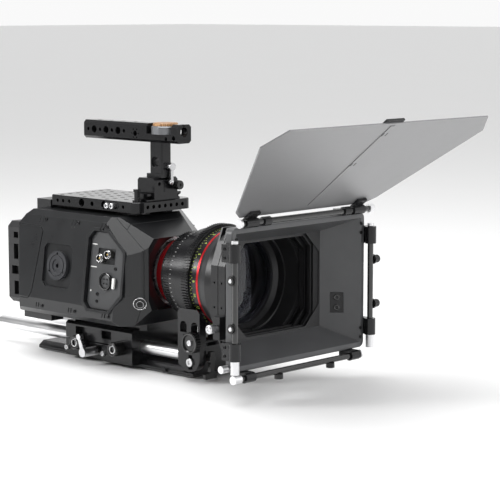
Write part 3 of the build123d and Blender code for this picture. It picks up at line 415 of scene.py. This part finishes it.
def joined(meshes):
    bm = bmesh.new()
    finishes = []
    for mesh in meshes:
        before = len(bm.faces)
        bm.from_mesh(mesh)
        bm.faces.ensure_lookup_table()
        for face in bm.faces[before:]:
            kind = mesh.materials[face.material_index] if mesh.materials else None
            if kind not in finishes:
                finishes.append(kind)
            face.material_index = finishes.index(kind)
    mesh = bpy.data.meshes.new("joined")
    bm.to_mesh(mesh)
    bm.free()
    for kind in finishes:
        if kind:
            mesh.materials.append(kind)
    return mesh


def fitting(name, meshes, finish_name, body, replaces=()):
    """A finished piece in place: meshes joined, painted, and riding on its body."""
    mesh = joined(meshes)
    if not mesh.materials:
        mesh.materials.append(F[finish_name])
    mesh.name = name
    piece = bpy.data.objects.new(name, mesh)
    bpy.context.scene.collection.objects.link(piece)
    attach(piece, body)
    if replaces:
        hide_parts(*replaces)
    return piece


# ---- geometry node trees for what repeats ----
def new_tree(name, inputs):
    tree = bpy.data.node_groups.new(name, "GeometryNodeTree")
    sockets = {}
    tree.interface.new_socket("Geometry", in_out="INPUT", socket_type="NodeSocketGeometry")
    for label, kind in inputs:
        sockets[label] = tree.interface.new_socket(label, in_out="INPUT", socket_type=kind).identifier
    tree.interface.new_socket("Geometry", in_out="OUTPUT", socket_type="NodeSocketGeometry")
    start, end = node(tree, "NodeGroupInput"), node(tree, "NodeGroupOutput")
    return tree, sockets, start, end


def close_tree(tree, start, end, instances):
    real = node(tree, "GeometryNodeRealizeInstances")
    paint = node(tree, "GeometryNodeSetMaterial")
    link(tree, instances, real.inputs[0])
    link(tree, real.outputs[0], paint.inputs["Geometry"])
    link(tree, start.outputs["Finish"], paint.inputs["Material"])
    link(tree, paint.outputs[0], end.inputs[0])


def ring_tree():
    """Copies of a shape around a ring, each turned to face outwards."""
    tree, sockets, start, end = new_tree("ring_of_shapes", (
        ("Shape", "NodeSocketObject"), ("Count", "NodeSocketInt"), ("Radius", "NodeSocketFloat"),
        ("Finish", "NodeSocketMaterial")))
    ring = node(tree, "GeometryNodeMeshCircle")
    link(tree, start.outputs["Count"], ring.inputs["Vertices"])
    link(tree, start.outputs["Radius"], ring.inputs["Radius"])
    shape = node(tree, "GeometryNodeObjectInfo")
    link(tree, start.outputs["Shape"], shape.inputs["Object"])
    face = node(tree, "FunctionNodeAlignRotationToVector", axis="X", pivot_axis="Z")
    where = node(tree, "GeometryNodeInputPosition")
    link(tree, where.outputs[0], face.inputs["Vector"])
    copies = node(tree, "GeometryNodeInstanceOnPoints")
    link(tree, ring.outputs[0], copies.inputs["Points"])
    link(tree, shape.outputs["Geometry"], copies.inputs["Instance"])
    link(tree, face.outputs[0], copies.inputs["Rotation"])
    close_tree(tree, start, end, copies.outputs[0])
    return tree, sockets


def row_tree():
    """Copies of a shape along a straight row from the first place, a step apart."""
    tree, sockets, start, end = new_tree("row_of_shapes", (
        ("Shape", "NodeSocketObject"), ("Count", "NodeSocketInt"), ("Step", "NodeSocketVector"),
        ("Finish", "NodeSocketMaterial")))
    row = node(tree, "GeometryNodeMeshLine")
    link(tree, start.outputs["Count"], row.inputs["Count"])
    link(tree, start.outputs["Step"], row.inputs["Offset"])
    shape = node(tree, "GeometryNodeObjectInfo")
    link(tree, start.outputs["Shape"], shape.inputs["Object"])
    copies = node(tree, "GeometryNodeInstanceOnPoints")
    link(tree, row.outputs[0], copies.inputs["Points"])
    link(tree, shape.outputs["Geometry"], copies.inputs["Instance"])
    close_tree(tree, start, end, copies.outputs[0])
    return tree, sockets


def scatter_tree():
    """Copies of a unit shape on given points, by their facing, girth and height."""
    tree, sockets, start, end = new_tree("shapes_on_points", (
        ("Shape", "NodeSocketObject"), ("Finish", "NodeSocketMaterial")))
    facing = node(tree, "GeometryNodeInputNamedAttribute", data_type="FLOAT_VECTOR")
    facing.inputs["Name"].default_value = "facing"
    size = node(tree, "GeometryNodeInputNamedAttribute", data_type="FLOAT_VECTOR")
    size.inputs["Name"].default_value = "size"
    shape = node(tree, "GeometryNodeObjectInfo")
    link(tree, start.outputs["Shape"], shape.inputs["Object"])
    face = node(tree, "FunctionNodeAlignRotationToVector", axis="Z")
    link(tree, facing.outputs["Attribute"], face.inputs["Vector"])
    copies = node(tree, "GeometryNodeInstanceOnPoints")
    link(tree, start.outputs[0], copies.inputs["Points"])
    link(tree, shape.outputs["Geometry"], copies.inputs["Instance"])
    link(tree, face.outputs[0], copies.inputs["Rotation"])
    link(tree, size.outputs["Attribute"], copies.inputs["Scale"])
    close_tree(tree, start, end, copies.outputs[0])
    return tree, sockets


TREES = {"ring": ring_tree(), "row": row_tree(), "scatter": scatter_tree()}


def grown(kind, shape, finish_name, points=None, **sizes):
    """The plain mesh that a tree makes from a shape and its named sizes."""
    tree, sockets = TREES[kind]
    stock = bpy.data.objects.new("stock", shape)
    carrier_mesh = bpy.data.meshes.new("carrier")
    if points:
        carrier_mesh.from_pydata([p[0] for p in points], [], [])
        for index, label in ((1, "facing"), (2, "size")):
            data = carrier_mesh.attributes.new(label, "FLOAT_VECTOR", "POINT").data
            data.foreach_set("vector", [c for p in points for c in p[index]])
    carrier = bpy.data.objects.new("carrier", carrier_mesh)
    for thing in (stock, carrier):
        bpy.context.scene.collection.objects.link(thing)
    grow = carrier.modifiers.new("grow", "NODES")
    grow.node_group = tree
    grow[sockets["Shape"]] = stock
    grow[sockets["Finish"]] = F[finish_name]
    for label, value in sizes.items():
        grow[sockets[label]] = value
    evaluated = carrier.evaluated_get(bpy.context.evaluated_depsgraph_get())
    mesh = bpy.data.meshes.new_from_object(evaluated)
    carrier.modifiers.remove(grow)
    for thing in (stock, carrier):
        bpy.data.objects.remove(thing)
    return mesh


def ring_of(shape, count, radius, finish_name, place, axis):
    """A ring of shapes, radius in millimetres, about an axis through the place."""
    mesh = grown("ring", shape, finish_name, Count=count, Radius=radius * MM)
    mesh.transform(placed(place, axis))
    return mesh


def row_of(shape, count, step, finish_name, place):
    mesh = grown("row", shape, finish_name, Count=count, Step=[s * MM for s in step])
    mesh.transform(Matrix.Translation(Vector(place)))
    return mesh


# ---- screws ----
def screws():
    """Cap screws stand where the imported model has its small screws."""
    heads = []
    thumbs = []
    for points in islands("small_screws"):
        centre = (points.min(0) + points.max(0)) / 2
        spread = np.cov((points - points.mean(0)).T)
        vectors = np.linalg.eigh(spread)[1]
        reach = [np.ptp(points @ vectors[:, k]) for k in range(3)]
        thin = int(np.argmin(reach))
        axis = Vector(vectors[:, thin])
        outward = Vector(centre) - Vector((0, 0, LENS_AXIS.z))
        lead = max(range(3), key=lambda k: abs(axis[k]))
        if axis[lead] * outward[lead] < 0:
            axis.negate()
        if lead == 1 and abs(axis.z) < 0.03:
            axis = Vector((0, math.copysign(1, axis.y), 0))
        radius = max(reach) / 2
        foot = Vector(centre) - axis * reach[thin] / 2
        row = (foot, axis, (radius, radius, reach[thin]))
        plate_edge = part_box("cheese_plate")[0].z < centre[2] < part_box("cheese_plate")[1].z
        (thumbs if plate_edge and lead == 1 else heads).append(row)
    stock = screw_shape()
    large = [row for row in heads if row[2][0] > 2.8 * MM and row[0].x > LENS_AXIS.x - 0.1]
    small = [row for row in heads if row not in large]
    bright = settle(grown("scatter", stock, "steel_satin", points=large), 25)
    dark = settle(grown("scatter", stock, "screw_black", points=small), 25)
    fitting("cap_screws", [bright, dark], "steel_satin", "rig", ("small_screws",))
    parts = [grown("scatter", stock, "steel_satin", points=thumbs)]
    for foot, axis, size in thumbs:
        ridge = bar_shape(0.35, 0.45, size[2] / MM * 0.8)
        parts.append(ring_of(ridge, 28, size[0] / MM, "steel_satin", foot + axis * size[2] / 2, axis))
    fitting("plate_thumb_screws", parts, "steel_satin", "rig")


# ---- knobs ----
def grip(place, axis, radius, length, count, tall=0.45, finish_name="knob_black"):
    """Knurled ridges around a knob."""
    ridge = bar_shape(tall, 2 * math.pi * radius / count * 0.5, length)
    return ring_of(ridge, count, radius, finish_name, place, axis)


def knob_grips():
    for node_name, body in (("rod_knob_rear", "rear_rod_knob"), ("rod_knob_front", "front_rod_knob")):
        low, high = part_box(node_name)
        centre = (low + high) / 2
        face = Vector((centre.x, low.y, centre.z))
        dish = turned([(-0.3, 7.2), (0.4, 7.2), (0.8, 6.8), (0.8, 6.2), (0.1, 5.2), (-0.3, 5.2)],
                      face, -Y, 48)
        ring = turned([(-0.3, 3.3), (0.3, 3.4), (0.6, 3.8), (0.3, 4.8), (-0.3, 4.9)], face, -Y, 48)
        ring.materials.append(F["steel_satin"])
        dish.materials.append(F["rod_black"])
        fitting(node_name + "_face", [dish, ring], "rod_black", body)
    parts = []
    faces = []
    for points in islands("flag_thumb_screws"):
        low, high = Vector(points.min(0)), Vector(points.max(0))
        centre = (low + high) / 2
        if abs(centre.y) > 0.09:
            axis = Y * math.copysign(1, centre.y)
            tip = Vector((centre.x, high.y if centre.y > 0 else low.y, centre.z))
        else:
            axis = -Z
            tip = Vector((centre.x, centre.y, low.z))
        parts.append(grip(tip - axis * 3.4 * MM, axis, 4.2, 5.0, 26))
        faces.append(turned([(-0.5, 0), (-0.5, 2.2), (0.0, 2.2), (0.4, 1.9), (0.45, 0)], tip, axis, 24))
    fitting("thumb_screw_grips", parts, "knob_black", "rig")
    fitting("thumb_screw_centres", faces, "steel_satin", "rig")

    low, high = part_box("stage_lock_knob")
    centre = (low + high) / 2
    tip = Vector((centre.x, low.y, centre.z))
    lock = [grip(tip + Y * 5.2 * MM, -Y, 4.6, 7.5, 30, 0.4, "steel_satin")]
    lock.append(turned([(-0.5, 0), (-0.5, 3.8), (0.2, 3.8), (0.6, 3.2), (0.6, 2.0), (0.1, 1.6), (0.1, 0)],
                       tip, -Y, 32))
    fitting("stage_lock_grip", lock, "steel_satin", "stage_lock")

    low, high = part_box("handle_clamp_knob")
    tip = Vector((high.x, (low.y + high.y) / 2, (low.z + high.z) / 2))
    fitting("clamp_knob_grip", [grip(tip - X * 5 * MM, X, 5.0, 7.6, 30)], "knob_black", "handle_knob")

    low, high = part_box("support_wheel")
    centre = joint_place("support_wheel_turn")
    tip = Vector((centre.x, low.y, centre.z))
    hub = turned([(0, 0), (0, 3.2), (1.6, 3.2), (2.0, 2.8), (2.0, 1.6), (1.4, 1.3), (1.4, 0)],
                 tip + Y * 1.3 * MM, -Y, 40)
    hub.materials.append(F["steel_satin"])
    rim = turned([(-0.2, 9.2), (0.35, 9.2), (0.6, 9.6), (0.6, 10.4), (0.3, 10.8), (-0.2, 10.8)], tip, -Y, 64)
    rim.materials.append(F["rod_black"])
    fitting("support_wheel_trim", [hub, rim], "steel_satin", "support_wheel")


# ---- side fittings ----
def on_side(x, z, out=0.0):
    """A place on the right wall: along the body, at a height, and outwards, in millimetres."""
    rise = (z * MM - SIDE_PLACE.z - SIDE_OUT.z * MM) / SIDE_UP.z
    return (SIDE_PLACE + X * (x * MM - SIDE_PLACE.x) + SIDE_UP * rise + SIDE_OUT * (out + 1.0) * MM)


def side_level(point, out):
    """The same point moved along the wall's facing to a level, in millimetres."""
    away = (point - on_side(point.x / MM, 111)).dot(SIDE_OUT)
    return point + SIDE_OUT * (out * MM - away)


def side_fittings():
    rims, pins = [], []
    for points in islands("video_sockets"):
        centre = Vector((points.min(0) + points.max(0)) / 2)
        rims.append(turned([(-0.3, 3.15), (0.1, 3.3), (0.25, 3.6), (0.1, 3.95), (-0.3, 4.1), (-0.9, 4.1),
                            (-0.9, 3.15)], side_level(centre, 3.2), SIDE_OUT, 40))
        rims.append(turned([(-0.2, 4.0), (0.3, 4.1), (0.4, 4.6), (0.1, 4.85), (-0.2, 4.85)],
                           side_level(centre, 1.1), SIDE_OUT, 40))
        pins.append(turned([(-1.0, 0), (-1.0, 1.15), (0.6, 1.15), (0.9, 0.8), (0.9, 0)],
                           side_level(centre, 1.2), SIDE_OUT, 20))
        pins[-1].materials.append(F["brass"])
    for mesh in rims:
        mesh.materials.append(F["chrome_trim"])
    fitting("video_socket_trim", rims + pins, "chrome_trim", "rig")

    centre = side_level(middle("power_socket"), -1.55)
    insert = turned([(-0.1, 0), (-0.1, 7.2), (0.2, 7.2), (0.3, 7.0), (0.3, 0)], centre, SIDE_OUT, 48)
    insert.materials.append(F["panel_grey"])
    sleeve = turned([(1.5, 8.0), (1.9, 8.2), (1.9, 9.0), (1.7, 9.5), (1.2, 9.6), (1.2, 8.0)], centre,
                    SIDE_OUT, 64)
    sleeve.materials.append(F["rod_black"])
    fitting("power_socket_trim", [insert, sleeve], "panel_grey", "rig")

    marks = []
    for x, z, width, height in ((23.5, 140.5, 8.0, 1.1), (24.5, 115.5, 9.5, 1.1), (22.6, 89.0, 1.9, 1.9)):
        dash = bar_shape(width, height, 0.12)
        dash.transform(placed(on_side(x, z, -3.4), SIDE_OUT, X))
        marks.append(dash)
    for mesh in marks:
        mesh.materials.append(F["scale_white"])
    fitting("socket_marks", marks, "scale_white", "rig")

    out = -Vector(next(j for j in frame["joints"] if j["name"] == "record_press")["axis"])
    mouth = middle("record_bezel") + out * 2.35 * MM
    rings = [turned([(-0.5, 6.5), (-0.1, 6.6), (0.2, 6.9), (0.2, 7.2), (-0.1, 7.5), (-0.5, 7.5)], mouth, out,
                    64)]
    rings.append(turned([(-0.6, 5.65), (-0.3, 5.7), (-0.2, 5.9), (-0.3, 6.1), (-0.6, 6.15)], mouth, out, 64))
    fitting("record_trim", rings, "chrome_trim", "rig")
    face = middle("record_button") + out * 3.75 * MM
    ring = turned([(-0.3, 3.7), (0.1, 3.8), (0.1, 4.1), (-0.3, 4.2)], face, out, 48)
    fitting("record_mark", [ring], "steel_satin", "record")


def hood_fittings():
    low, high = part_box("hood")
    floor = Vector((low.x, high.y, low.z)) + Vector(HOOD_PANEL) * MM - HOOD_PANEL_OUT * 0.9 * MM
    plate = bar_shape(14.6, 22.2, 0.5, 0.2)
    plate.transform(placed(floor, HOOD_PANEL_OUT, HOOD_PANEL_ALONG))
    plate.materials.append(F["panel_black"])
    parts = [plate]
    for up in (-5.6, 5.6):
        parts.append(turned([(0, 1.6), (1.3, 1.7), (1.5, 2.0), (1.5, 2.9), (1.3, 3.2), (0, 3.2)],
                            floor + Z * up * MM, HOOD_PANEL_OUT, 32))
        parts[-1].materials.append(F["rod_black"])
    fitting("hood_service_plate", parts, "panel_black", "rig")

    out = Vector((math.cos(FLAG_TILT), 0, math.sin(FLAG_TILT)))
    back = Vector((-math.sin(FLAG_TILT), 0, math.cos(FLAG_TILT)))
    level = min(vert.co.dot(back) for vert in NODES["top_flag"].data.vertices)
    rod = joint_place("top_flag_tilt")
    slots = []
    for reach in FLAG_SLOT_REACH:
        for side in (-1, 1):
            place = rod + out * reach * MM + Y * side * 2.6 * MM
            place += back * (level - place.dot(back))
            slot = bar_shape(5.0, 1.6, 0.2, 0.2)
            slot.transform(placed(place, -back, out))
            slots.append(slot)
    fitting("flag_slots", slots, "panel_black", "flag")


def hood_gasket():
    """An eight-sided foam frame between the front stage and the hood."""
    back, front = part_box("front_filter_stage")[1].x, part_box("hood")[0].x
    bm = bmesh.new()
    rings = []
    for x in (back, front):
        for half_w, half_h, cut in ((75.0, 57.0, 3.0), (68.5, 51.0, 22.0)):
            corners = []
            for sy, sz, first in ((1, 1, 0), (-1, 1, 1), (-1, -1, 0), (1, -1, 1)):
                pair = [(sy * half_w, sz * (half_h - cut)), (sy * (half_w - cut), sz * half_h)]
                corners += pair[::-1] if first else pair
            rings.append([bm.verts.new((x, y * MM, LENS_AXIS.z + z * MM)) for y, z in corners])
    outer_back, inner_back, outer_front, inner_front = rings
    for a, b in ((outer_back, inner_back), (inner_back, inner_front), (inner_front, outer_front),
                 (outer_front, outer_back)):
        for step in range(8):
            follow = (step + 1) % 8
            bm.faces.new((a[step], a[follow], b[follow], b[step]))
    bmesh.ops.recalc_face_normals(bm, faces=bm.faces)
    mesh = bpy.data.meshes.new("gasket")
    bm.to_mesh(mesh)
    bm.free()
    fitting("hood_gasket", [mesh], "panel_black", "rig")


def rear_fittings():
    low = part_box("battery_plate")[0]
    contact = bar_shape(0.6, 2.0, 7.0, 0.3)
    strips = [row_of(contact, 5, (0, 5.0, 0), "brass", Vector((low.x, -10 * MM, low.z + 18 * MM)))]
    fitting("battery_contacts", strips, "brass", "rig")


# ---- lens ----
def wrapped_text(words, size, radius, x, angle):
    """Raised figures laid round the lens axis; radius and x in millimetres, angle in degrees."""
    curve = bpy.data.curves.new("figures", "FONT")
    curve.body = words
    curve.size = size * MM
    curve.extrude = 0.06 * MM
    curve.align_x = "CENTER"
    curve.align_y = "CENTER"
    curve.resolution_u = 2
    holder = bpy.data.objects.new("figures", curve)
    bpy.context.scene.collection.objects.link(holder)
    mesh = bpy.data.meshes.new_from_object(holder.evaluated_get(bpy.context.evaluated_depsgraph_get()))
    bpy.data.objects.remove(holder)
    for vert in mesh.vertices:
        along, across, out = vert.co
        turn = math.radians(angle) + along / (radius * MM)
        reach = radius * MM + out
        vert.co = (x * MM + across, -reach * math.cos(turn), LENS_AXIS.z - reach * math.sin(turn))
    return mesh


def lens_figures():
    """Distances and stops painted round the rings, with their tick marks."""
    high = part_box("focus_ring")[1]
    ring_x = high.x / MM - 4.6
    radius = FIGURE_RADIUS
    figures = []
    for step, words in enumerate(("2", "3", "4", "5", "6", "8", "10", "15", "20", "30", "60")):
        for half in (0, 180):
            figures.append(wrapped_text(words, 4.6, radius, ring_x + 1.0, half - 82 + step * 16.0))
    tick = bar_shape(0.16, 0.42, 2.0)
    figures.append(ring_of(tick, 88, radius, "scale_green", LENS_AXIS + X * (ring_x - 3.6) * MM, X))
    dot = bar_shape(0.16, 0.8, 0.8)
    figures.append(ring_of(dot, 30, radius, "scale_green", LENS_AXIS + X * (ring_x - 1.6) * MM, X))
    for mesh in figures:
        if not mesh.materials:
            mesh.materials.append(F["scale_green"])
    fitting("focus_figures", figures, "scale_green", "focus")

    stops = []
    for step, words in enumerate(("2", "2.8", "4", "5.6", "8", "11", "16", "22")):
        for half in (0, 180):
            stops.append(wrapped_text(words, 2.5, STOP_RADIUS, STOP_X, half - 70 + step * 18))
    for mesh in stops:
        mesh.materials.append(F["scale_white"])
    fitting("stop_figures", stops, "scale_white", "rig")
    marks = ring_of(bar_shape(0.14, 0.3, 2.4), 60, MARK_RADIUS, "scale_white",
                    LENS_AXIS + X * MARK_X * MM, X)
    fitting("barrel_marks", [marks], "scale_white", "rig")


def glass_dome(x_back, x_front, radius, bulge, sides=96):
    """A lens element with a domed front and a flat back."""
    rim = x_front - bulge
    profile = [(x_back, 0), (x_back, radius - 0.3), (x_back + 0.3, radius), (rim, radius)]
    for step in range(1, 15):
        angle = step / 14 * math.pi / 2
        share = math.sin(angle)
        profile.append((rim + bulge * (1 - (1 - share) ** 2), radius * (1 - share) if step < 14 else 0))
    return turned([(h, r) for h, r in profile], LENS_AXIS, X, sides)


def lens_inside():
    low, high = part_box("front_element")
    x_back, x_front = low.x / MM, high.x / MM
    radius = (high.z - low.z) / 2 / MM
    front = glass_dome(x_back, x_front, radius, (x_front - x_back) * 0.8)
    fitting("front_glass", [front], "coated_glass", "rig", ("front_element",))
    inner = glass_dome(158, 165, 26.6, 5)
    fitting("inner_glass", [inner], "coated_glass", "rig")
    rings = []
    for x, r_out, r_in in ((181.2, 41.0, 34.0), (180.8, 33.4, 28.0), (167, 26.9, 24.5), (152, 26.9, 21),
                           (148, 26.9, 17)):
        rings.append(turned([(x, r_out), (x, r_in), (x + 0.5, r_in - 0.2), (x + 1.2, r_in + 0.6),
                             (x + 1.2, r_out)], LENS_AXIS, X, 72))
    fitting("inner_baffles", rings, "lens_black", "rig")
    blade = bar_shape(16, 9.5, 0.25, 0.2)
    blade.transform(Euler((0.06, 0, 0.5)).to_matrix().to_4x4())
    leaves = ring_of(blade, 11, 17, "lens_black", LENS_AXIS + X * 140 * MM, X)
    fitting("aperture_leaves", [leaves], "lens_black", "rig")


# ---- studio ----
def studio():
    mesh = bpy.data.meshes.new("floor")
    half = 30.0
    mesh.from_pydata([(-half, -half, 0), (half, -half, 0), (half, half, 0), (-half, half, 0)], [],
                     [(0, 1, 2, 3)])
    mesh.materials.append(F["floor"])
    floor = bpy.data.objects.new("floor", mesh)
    bpy.context.scene.collection.objects.link(floor)

    world = bpy.data.worlds.new("studio")
    world.use_nodes = True
    # a white room with one dark side, so that dark faces keep their contrast
    tree = world.node_tree
    tree.nodes["Background"].inputs[0].default_value = (1, 1, 1, 1)
    place = node(tree, "ShaderNodeTexCoord")
    side = node(tree, "ShaderNodeVectorMath", operation="DOT_PRODUCT")
    side.inputs[1].default_value = (-0.62, -0.78, 0.0)
    link(tree, place.outputs["Generated"], side.inputs[0])
    shade = node(tree, "ShaderNodeMapRange", interpolation_type="SMOOTHSTEP")
    shade.inputs["From Min"].default_value = 0.15
    shade.inputs["From Max"].default_value = 0.75
    shade.inputs["To Min"].default_value = 0.95
    shade.inputs["To Max"].default_value = 0.10
    link(tree, side.outputs["Value"], shade.inputs["Value"])
    link(tree, shade.outputs["Result"], tree.nodes["Background"].inputs[1])
    bpy.context.scene.world = world

    aim = Vector((0.08, 0, 0.13))
    for name, place, size, power in LAMPS:
        lamp = bpy.data.lights.new(name, "AREA")
        lamp.shape = "SQUARE"
        lamp.size = size
        lamp.energy = power
        holder = bpy.data.objects.new(name, lamp)
        bpy.context.scene.collection.objects.link(holder)
        holder.location = place
        holder.rotation_euler = (Vector(place) - aim).to_track_quat("Z", "Y").to_euler()

    camera = bpy.data.cameras.new("camera")
    camera.lens = CAMERA_LENS
    camera.sensor_width = CAMERA_FILM
    camera.clip_end = 100
    holder = bpy.data.objects.new("camera", camera)
    bpy.context.scene.collection.objects.link(holder)
    look, up = CAMERA_LOOK.normalized(), CAMERA_UP.normalized()
    right = look.cross(up).normalized()
    turn = Matrix((right, right.cross(look), -look)).transposed()
    holder.matrix_world = Matrix.Translation(CAMERA_PLACE) @ turn.to_4x4()
    bpy.context.scene.camera = holder
    bpy.context.scene.view_settings.view_transform = "Standard"


screws()
knob_grips()
side_fittings()
hood_fittings()
hood_gasket()
rear_fittings()
lens_figures()
lens_inside()
studio()
